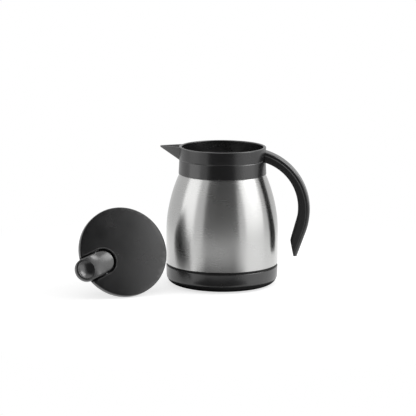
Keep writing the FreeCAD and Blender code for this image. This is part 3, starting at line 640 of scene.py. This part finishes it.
class CARAFE_OT_lid_cover(bpy.types.Operator):
    """Crowned cover of the lid, with a rounded edge and a slot for the lever"""

    bl_idname = "carafe.lid_cover"
    bl_label = "Lid Cover"

    def execute(self, context):
        s = context.scene.carafe_sizes
        wall = 2.2 * MM
        edge = 1.0 * MM
        flange = 2.4 * MM
        mouth_round = 1.5 * MM
        grid = 5.0 * MM
        under = s.lid_top - s.lid_crown - wall
        opening = math.asin(s.slot_half_width / s.lid_radius)
        bm = bmesh.new()
        first = bm.verts.new((s.lid_radius * math.cos(opening), s.slot_half_width, s.lid_top - edge))
        at = last = turn_to(bm, first, 0, 0, 360 - 2 * math.degrees(opening), ROUND_STEPS)
        at = flat_line_to(bm, at, s.lever_start, -s.slot_half_width)
        at = turn_to(bm, at, s.lever_start, 0, -180, ARC_STEPS)
        bm.edges.new((at, first))
        for corner in (first, last):
            soften(bm, corner, mouth_round)
        face = upper_face(bm)
        round_border(bm, face, edge, 4)
        grid_face(bm, face, grid)
        self.crown(s, bm)
        floor = close_below(bm, lambda x: under)
        ring = bmesh.ops.inset_region(bm, faces=[floor], thickness=wall, use_even_offset=True)["faces"]
        skirt = [f for f in ring if f.calc_center_median().xy.length > s.lid_radius - wall]
        pulled = bmesh.ops.extrude_face_region(bm, geom=skirt)["geom"]
        bmesh.ops.delete(bm, geom=skirt, context="FACES")
        verts = [e for e in pulled if isinstance(e, bmesh.types.BMVert)]
        bmesh.ops.translate(bm, verts=verts, vec=(0, 0, flange - under))
        bmesh.ops.recalc_face_normals(bm, faces=bm.faces[:])
        bm = joined(bm, self.bead(s), "UNION")
        bmesh.ops.transform(bm, matrix=lid_place(), verts=bm.verts[:])
        finish_piece(bm, "lid_top", "lid", "black_plastic", "lid_cover")
        return {"FINISHED"}

    def bead(self, s):
        """Thin raised bead round the slot: straight in, round the end and straight out."""
        radius = 0.75 * MM
        line = s.slot_half_width + 0.8 * MM
        height = s.lid_top - 0.25 * MM
        start = 43.0 * MM
        run = start - s.lever_start
        straight_steps = 8
        bm = bmesh.new()
        place = Matrix.Translation((start, line, height)) @ Matrix.Rotation(math.pi / 2, 4, "Y")
        ring = bmesh.ops.create_circle(bm, cap_ends=True, segments=16, radius=radius, matrix=place)["verts"]
        face = ring[0].link_faces[0]
        for way, steps in ((-1, straight_steps), (0, ARC_STEPS), (1, straight_steps)):
            for step in range(steps):
                face = pulled_face(bm, face)
                if way:
                    bmesh.ops.translate(bm, verts=face.verts[:], vec=(way * run / steps, 0, 0))
                else:
                    bmesh.ops.rotate(bm, verts=face.verts[:], cent=(s.lever_start, 0, 0),
                                     matrix=Matrix.Rotation(math.pi / steps, 3, "Z"))
        self.crown(s, bm)
        bmesh.ops.recalc_face_normals(bm, faces=bm.faces[:])
        return bm

    def crown(self, s, bm):
        """Lowers the top towards its edge."""
        for vert in bm.verts:
            vert.co.z -= s.lid_crown * (vert.co.x ** 2 + vert.co.y ** 2) / s.lid_radius ** 2


def joined(bm, tool, how):
    """Joins a closed shape to another, or cuts it away."""
    solids = []
    for shape in (bm, tool):
        mesh = bpy.data.meshes.new("shape")
        shape.to_mesh(mesh)
        shape.free()
        solids.append(bpy.data.objects.new("shape", mesh))
        bpy.context.scene.collection.objects.link(solids[-1])
    step = solids[0].modifiers.new("join", "BOOLEAN")
    step.object = solids[1]
    step.operation = how
    step.solver = "EXACT"
    done = bmesh.new()
    done.from_object(solids[0], bpy.context.evaluated_depsgraph_get())
    for solid in solids:
        bpy.data.meshes.remove(solid.data)
    return done


def cross_bar(radius, half_length):
    """Round bar along the lever's pin."""
    bm = bmesh.new()
    place = Matrix.Translation((PIN_X, 0, PIN_Z)) @ Matrix.Rotation(math.pi / 2, 4, "X")
    bmesh.ops.create_cone(bm, cap_ends=True, segments=64, radius1=radius, radius2=radius,
                          depth=2 * half_length, matrix=place)
    return bm


class CARAFE_OT_thumb_lever(bpy.types.Operator):
    """Thumb lever: a crowned tongue with a thumb dimple, a sleeve on the pin and the fork below"""

    bl_idname = "carafe.thumb_lever"
    bl_label = "Thumb Lever"

    def execute(self, context):
        s = context.scene.carafe_sizes
        sleeve_radius = 3.2 * MM
        sleeve_half_width = s.lever_half_width - 0.2 * MM
        bore_radius = 1.56 * MM
        crease = 28.0
        bm = joined(self.tongue(s), self.thumb_tool(s), "DIFFERENCE")
        bm = joined(bm, self.fork(), "UNION")
        bm = joined(bm, cross_bar(sleeve_radius, sleeve_half_width), "UNION")
        bm = joined(bm, cross_bar(bore_radius, 2 * s.lever_half_width), "DIFFERENCE")
        bmesh.ops.transform(bm, matrix=lid_place(), verts=bm.verts[:])
        finish_piece(bm, "lever", "lever", "black_plastic", "thumb_lever", sharp=crease)
        return {"FINISHED"}

    def top(self, s, x):
        """Height of the top along the lever's middle: steep at the inner end, almost level at the dimple."""
        inner = s.lever_start - s.lever_half_width
        level = s.lever_end - 2.5 * MM
        way = min(max(x, inner), level) - inner
        bend = (STEEP_SLOPE - GENTLE_SLOPE) / (level - inner)
        return s.lever_low + STEEP_SLOPE * way - bend * way ** 2 / 2 + GENTLE_SLOPE * max(0, x - level)

    def tongue(self, s):
        """Long round-ended body with a crowned top that turns flat around the dimple."""
        half = s.lever_half_width
        edge = 1.6 * MM
        crown = 26.0 * MM
        flat_start = s.lever_end - 20.0 * MM
        flat_end = s.lever_end - 9.0 * MM
        grid = 2.0 * MM
        inner = s.lever_start - half
        low = 1.0 * MM
        # The underside rises outwards, so that the pressed lever stays clear of the flange.
        under_slope = 0.132
        bm = bmesh.new()
        first = bm.verts.new((s.lever_start, half, -edge))
        at = turn_to(bm, first, s.lever_start, 0, 180, ARC_STEPS)
        at = flat_line_to(bm, at, s.lever_end, -half)
        at = turn_to(bm, at, s.lever_end, 0, 180, ARC_STEPS)
        bm.edges.new((at, first))
        face = upper_face(bm)
        round_border(bm, face, edge, 5)
        grid_face(bm, face, grid)
        for vert in bm.verts:
            way = min(max((vert.co.x - flat_start) / (flat_end - flat_start), 0), 1)
            share = 1 - way * way * (3 - 2 * way)
            sink = crown - math.sqrt(crown ** 2 - vert.co.y ** 2)
            vert.co.z += self.top(s, vert.co.x) - share * sink
        close_below(bm, lambda x: low + max(0, x - inner) * under_slope)
        bmesh.ops.recalc_face_normals(bm, faces=bm.faces[:])
        return bm

    def thumb_tool(self, s):
        """Bowl with a flared rim that hollows the outer end."""
        flare = 0.9 * MM
        flare_rise = 0.04 * MM
        high = 6.0 * MM
        middle = s.lever_end + 1.0 * MM
        bowl_steps, flare_steps = 24, 5
        bowl = (s.dimple_radius ** 2 + s.dimple_depth ** 2) / (2 * s.dimple_depth)
        sweep = math.degrees(math.asin(s.dimple_radius / bowl))
        bm = bmesh.new()
        first = bm.verts.new((0, 0, -s.dimple_depth))
        at = arc_to(bm, first, 0, bowl - s.dimple_depth, -sweep, bowl_steps)
        turn = math.radians(sweep)
        centre_x = s.dimple_radius + flare * math.sin(turn)
        centre_z = -flare * math.cos(turn)
        at = arc_to(bm, at, centre_x, centre_z, sweep, flare_steps)
        at = line_to(bm, at, centre_x + 1.0 * MM, high)
        at = line_to(bm, at, 0, high)
        spin_round(bm)
        # The flare's end stands just over the top, so that the rim comes out round.
        sink = Matrix.Translation((0, 0, flare_rise - flare * (1 - math.cos(turn))))
        place = Matrix.Translation((middle, 0, self.top(s, middle)))
        tilt = Matrix.Rotation(-math.atan(GENTLE_SLOPE), 4, "Y")
        bmesh.ops.transform(bm, matrix=place @ tilt @ sink, verts=bm.verts[:])
        return bm

    def fork(self):
        """Two prongs on an arm from the pin, which reach under the valve rod's head."""
        half = 7.0 * MM
        knee_x, knee_top, knee_low = 16.3 * MM, 3.0 * MM, -1.0 * MM
        prong_x, prong_top, prong_low = 6.5 * MM, -3.5 * MM, -6.0 * MM
        end_x, end_top = -1.0 * MM, -3.85 * MM
        bend_x = 1.5 * MM
        arm_top, arm_low = 4.2 * MM, -0.4 * MM
        bm = bmesh.new()
        first = bm.verts.new((PIN_X, -half, arm_top))
        at = line_to(bm, first, knee_x, knee_top)
        at = line_to(bm, at, prong_x, prong_top)
        at = line_to(bm, at, bend_x, prong_top)
        at = line_to(bm, at, end_x, end_top)
        at = line_to(bm, at, end_x, prong_low)
        at = line_to(bm, at, prong_x + 2.0 * MM, prong_low)
        at = line_to(bm, at, knee_x - 1.0 * MM, knee_low)
        at = line_to(bm, at, PIN_X, arm_low)
        bm.edges.new((at, first))
        outline_plate(bm, half)
        notch_length, notch_width, notch_height = 30.0 * MM, 5.4 * MM, 16.0 * MM
        notch_x, notch_z = 5.0 * MM, -6.1 * MM
        notch = bmesh.new()
        size = Matrix.Diagonal((notch_length, notch_width, notch_height, 1))
        bmesh.ops.create_cube(notch, size=1.0, matrix=Matrix.Translation((notch_x, 0, notch_z)) @ size)
        return joined(bm, notch, "DIFFERENCE")


class CARAFE_OT_valve_spring(bpy.types.Operator):
    """Wire spring above the valve, made as one fixed coil; on the real lid it shortens as the valve lifts"""

    bl_idname = "carafe.valve_spring"
    bl_label = "Valve Spring"

    def execute(self, context):
        wire = 0.5 * MM
        coil = 7.0 * MM
        turns = 5
        turn_steps = 24
        steps = turns * turn_steps
        place = lid_place()
        to_lid = place.inverted()
        heights = [(to_lid @ vert.co).z for vert in frame["nodes"]["valve_spring"].data.vertices]
        low, high = min(heights), max(heights)
        rise = (high - low - 2 * wire) / steps
        bm = bmesh.new()
        start = Matrix.Translation((coil, 0, low + wire)) @ Matrix.Rotation(math.pi / 2, 4, "X")
        ring = bmesh.ops.create_circle(bm, cap_ends=True, segments=12, radius=wire, matrix=start)["verts"]
        face = ring[0].link_faces[0]
        for step in range(steps):
            face = pulled_face(bm, face)
            bmesh.ops.rotate(bm, verts=face.verts[:], cent=(0, 0, 0),
                             matrix=Matrix.Rotation(2 * math.pi / turn_steps, 3, "Z"))
            bmesh.ops.translate(bm, verts=face.verts[:], vec=(0, 0, rise))
        bmesh.ops.recalc_face_normals(bm, faces=bm.faces[:])
        bmesh.ops.transform(bm, matrix=place, verts=bm.verts[:])
        spring = finish_piece(bm, "spring", "lid", "spring_steel", "valve_spring")
        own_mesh(spring)
        return {"FINISHED"}


class CARAFE_OT_carried_over(bpy.types.Operator):
    """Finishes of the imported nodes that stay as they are"""

    bl_idname = "carafe.carried_over"
    bl_label = "Carried-over Pieces"

    def execute(self, context):
        for row in frame["record"]["subparts"]:
            dress(frame["nodes"][row["node"]], row["material_slot"])
        return {"FINISHED"}


def softbox(name, place, aim, width, height, watts):
    """Soft area lamp that faces a point."""
    lamp = bpy.data.lights.new(name, "AREA")
    lamp.shape = "RECTANGLE"
    lamp.size = width
    lamp.size_y = height
    lamp.energy = watts
    light = bpy.data.objects.new(name, lamp)
    way = Vector(aim) - Vector(place)
    light.matrix_world = Matrix.Translation(place) @ way.to_track_quat("-Z", "Y").to_matrix().to_4x4()
    bpy.context.scene.collection.objects.link(light)


def studio_piece(bm, name, material):
    """Makes an object of the stage, which is not part of the carafe."""
    mesh = bpy.data.meshes.new(name)
    bm.to_mesh(mesh)
    bm.free()
    mesh.materials.append(material)
    piece = bpy.data.objects.new(name, mesh)
    bpy.context.scene.collection.objects.link(piece)
    return piece


def seen_directly(tree):
    """1 for rays from the camera, and for those that mirror or pass on what it sees."""
    path = add_node(tree, "ShaderNodeLightPath")
    mirror = add_node(tree, "ShaderNodeMath", {"operation": "MAXIMUM"}, {
        0: path.outputs["Is Glossy Ray"], 1: path.outputs["Is Transmission Ray"]})
    seen = add_node(tree, "ShaderNodeMath", {"operation": "MAXIMUM"}, {
        0: path.outputs["Is Camera Ray"], 1: mirror.outputs[0]})
    return seen.outputs[0]


class CARAFE_OT_stage(bpy.types.Operator):
    """White floor, soft studio light and the camera of the photograph"""

    bl_idname = "carafe.stage"
    bl_label = "Stage"

    def execute(self, context):
        self.world(context)
        self.floor(context)
        self.lights()
        self.camera(context)
        context.scene.view_settings.view_transform = "Standard"
        return {"FINISHED"}

    def world(self, context):
        """White background for the camera, and a dimmer one that lights the pieces."""
        ambient_level = 0.35
        mirror_level = 0.76
        world = bpy.data.worlds.new("white_studio")
        world.use_nodes = True
        tree = world.node_tree
        tree.nodes.clear()
        ambient = add_node(tree, "ShaderNodeBackground", None, {"Color": WHITE, "Strength": ambient_level})
        # The room beside the white backdrop is a little darker, and only mirrors see it.
        path = add_node(tree, "ShaderNodeLightPath")
        level = add_node(tree, "ShaderNodeMapRange", None, {
            "Value": path.outputs["Is Glossy Ray"], "From Min": 0.0, "From Max": 1.0,
            "To Min": 1.0, "To Max": mirror_level})
        shown = add_node(tree, "ShaderNodeBackground", None, {"Color": WHITE, "Strength": level.outputs[0]})
        mixed = add_node(tree, "ShaderNodeMixShader", None, {
            0: seen_directly(tree), 1: ambient.outputs[0], 2: shown.outputs[0]})
        add_node(tree, "ShaderNodeOutputWorld", None, {"Surface": mixed.outputs[0]})
        context.scene.world = world

    def floor(self, context):
        """Round sheet of paper that fades into the white of the background at its edge."""
        fade_start, fade_end, radius = 0.24, 0.4, 0.43
        ahead_way = (0.04, -1.0, 0.0)
        shaded_full, shaded_end = math.radians(32), math.radians(44)
        mirrored_share = 0.65
        lift_level = 0.7
        below_foot = -0.1 * MM
        material, tree = new_material("white_paper")
        tone = context.scene.carafe_colours.floor
        place = add_node(tree, "ShaderNodeTexCoord")
        out = add_node(tree, "ShaderNodeVectorMath", {"operation": "LENGTH"}, {0: place.outputs["Object"]})
        fade = add_node(tree, "ShaderNodeMapRange", {"interpolation_type": "SMOOTHSTEP"}, {
            "Value": out.outputs["Value"], "From Min": fade_start, "From Max": fade_end,
            "To Min": 0.0, "To Max": 1.0})
        # In front, where the front card stands, mirrors see the paper darker than the camera does: a painted dark
        # reflection.
        flat = add_node(tree, "ShaderNodeVectorMath", {"operation": "MULTIPLY"}, {
            0: place.outputs["Object"], 1: (1.0, 1.0, 0.0)})
        way = add_node(tree, "ShaderNodeVectorMath", {"operation": "NORMALIZE"}, {0: flat.outputs[0]})
        ahead = add_node(tree, "ShaderNodeVectorMath", {"operation": "DOT_PRODUCT"}, {
            0: way.outputs[0], 1: ahead_way})
        front = add_node(tree, "ShaderNodeMapRange", {"interpolation_type": "SMOOTHSTEP"}, {
            "Value": ahead.outputs["Value"], "From Min": math.cos(shaded_end),
            "From Max": math.cos(shaded_full), "To Min": 0.0, "To Max": 1.0})
        path = add_node(tree, "ShaderNodeLightPath")
        shaded = add_node(tree, "ShaderNodeMath", {"operation": "MULTIPLY"}, {
            0: front.outputs[0], 1: path.outputs["Is Glossy Ray"]})
        painted_mirror_shade = add_node(tree, "ShaderNodeMapRange", None, {
            "Value": shaded.outputs[0], "From Min": 0.0, "From Max": 1.0,
            "To Min": 1.0, "To Max": mirrored_share})
        seen = add_node(tree, "ShaderNodeMath", {"operation": "MULTIPLY"}, {
            0: painted_mirror_shade.outputs[0], 1: seen_directly(tree)})
        paper = add_node(tree, "ShaderNodeBsdfDiffuse", None, {"Color": (*tone, 1.0)})
        part = add_node(tree, "ShaderNodeMath", {"operation": "MULTIPLY"}, {
            0: seen.outputs[0], 1: lift_level})
        lift = add_node(tree, "ShaderNodeEmission", None, {"Color": WHITE, "Strength": part.outputs[0]})
        near = add_node(tree, "ShaderNodeAddShader", None, {0: paper.outputs[0], 1: lift.outputs[0]})
        white = add_node(tree, "ShaderNodeEmission", None, {"Color": WHITE, "Strength": seen.outputs[0]})
        both = add_node(tree, "ShaderNodeMixShader", None, {
            0: fade.outputs[0], 1: near.outputs[0], 2: white.outputs[0]})
        finish_material(tree, both)
        bm = bmesh.new()
        bmesh.ops.create_circle(bm, cap_ends=True, segments=96, radius=radius)
        bmesh.ops.translate(bm, verts=bm.verts[:], vec=(0, 0, below_foot))
        studio_piece(bm, "floor", material)

    def lights(self):
        """Softboxes, each with its place, aim, width, height and watts."""
        body = (0, 0, 0.1)
        lid = (-0.1, -0.07, 0.05)
        softbox("right_softbox", (1.43, -0.35, 0.6), body, 1.3, 1.3, 6.0)
        softbox("left_softbox", (-1.4, -0.4, 0.5), body, 1.0, 1.2, 4.0)
        softbox("top_softbox", (0.0, 0.3, 1.8), body, 1.6, 1.6, 4.5)
        softbox("high_softbox", (0.85, 0.08, 0.95), lid, 0.6, 0.6, 5.5)
        # Dark cards in front and on the floor, seen only in mirrors, paint dark reflections into the steel, the
        # lid and the base; the round card under the base paints its contact shadow into what the base mirrors.
        upright = Matrix.Rotation(math.pi / 2, 4, "X")
        self.card("front_card", Matrix.Translation((0.025, -0.436, 0.5)) @ upright, 0.61, 1.0, 0.2)
        self.card("lid_card", Matrix.Translation((0.185, -0.434, 0.64)) @ upright, 0.54, 0.48, 0.03)
        self.card("floor_card", Matrix.Translation((0.005, -0.115, 0.0005)), 0.13, 0.08, 0.16)
        self.card("base_card", Matrix.Translation((0.0, -0.005, 0.0004)), 0.134, 0.134, 0.14, sides=48)

    def card(self, name, place, width, height, tone, sides=4):
        """Card of one grey that only mirrors see, a painted dark reflection, with four sides or almost round."""
        material, tree = new_material(name)
        grey = add_node(tree, "ShaderNodeBsdfDiffuse", None, {"Color": (tone, tone, tone, 1.0)})
        finish_material(tree, grey)
        corner = math.pi / sides
        shape = place @ Matrix.Diagonal((width, height, 1, 1)) @ Matrix.Rotation(corner, 4, "Z")
        bm = bmesh.new()
        bmesh.ops.create_circle(bm, cap_ends=True, segments=sides, radius=0.5 / math.cos(corner),
                                matrix=shape)
        card = studio_piece(bm, name, material)
        card.visible_camera = False
        card.visible_diffuse = False
        card.visible_transmission = False
        card.visible_shadow = False

    def camera(self, context):
        """Camera of the photograph, found from the outline of the carafe."""
        azimuth = math.radians(4.5)
        elevation = math.radians(10.52)
        roll = math.radians(0.27)
        away = 2.25
        aim_right = -16.27 * MM
        aim_height = 86.5 * MM
        back = Vector((math.sin(azimuth) * math.cos(elevation), -math.cos(azimuth) * math.cos(elevation),
                       math.sin(elevation)))
        right = Vector((math.cos(azimuth), math.sin(azimuth), 0))
        up = back.cross(right)
        aim = right * aim_right + Vector((0, 0, aim_height))
        lens = bpy.data.cameras.new("photo_camera")
        lens.sensor_width = 36.0
        lens.lens = 170.3
        lens.clip_end = 50.0
        camera = bpy.data.objects.new("photo_camera", lens)
        turn = Matrix((right, up, back)).transposed().to_4x4()
        place = Matrix.Translation(aim + back * away)
        camera.matrix_world = place @ turn @ Matrix.Rotation(roll, 4, "Z")
        context.scene.collection.objects.link(camera)
        context.scene.camera = camera


class CARAFE_PT_panel(bpy.types.Panel):
    """Sizes, colours and steps of the carafe"""

    bl_idname = "CARAFE_PT_panel"
    bl_label = "Vacuum Carafe"
    bl_space_type = "VIEW_3D"
    bl_region_type = "UI"
    bl_category = "Carafe"

    def draw(self, context):
        layout = self.layout
        for group in (context.scene.carafe_sizes, context.scene.carafe_colours):
            box = layout.box()
            for name in group.__annotations__:
                box.prop(group, name)
        for step in steps:
            layout.operator(step.bl_idname)


steps = (
    CARAFE_OT_carried_over,
    CARAFE_OT_steel_shell,
    CARAFE_OT_base,
    CARAFE_OT_handle,
    CARAFE_OT_lid_cover,
    CARAFE_OT_thumb_lever,
    CARAFE_OT_valve_spring,
    CARAFE_OT_stage,
)
classes = (CarafeSizes, CarafeColours, *steps, CARAFE_PT_panel)


def register():
    for item in classes:
        bpy.utils.register_class(item)
    bpy.types.Scene.carafe_sizes = PointerProperty(type=CarafeSizes)
    bpy.types.Scene.carafe_colours = PointerProperty(type=CarafeColours)


def unregister():
    del bpy.types.Scene.carafe_colours
    del bpy.types.Scene.carafe_sizes
    for item in reversed(classes):
        bpy.utils.unregister_class(item)


def main():
    register()
    for step in steps:
        group, name = step.bl_idname.split(".")
        getattr(getattr(bpy.ops, group), name)()


if __name__ == "__main__":
    main()
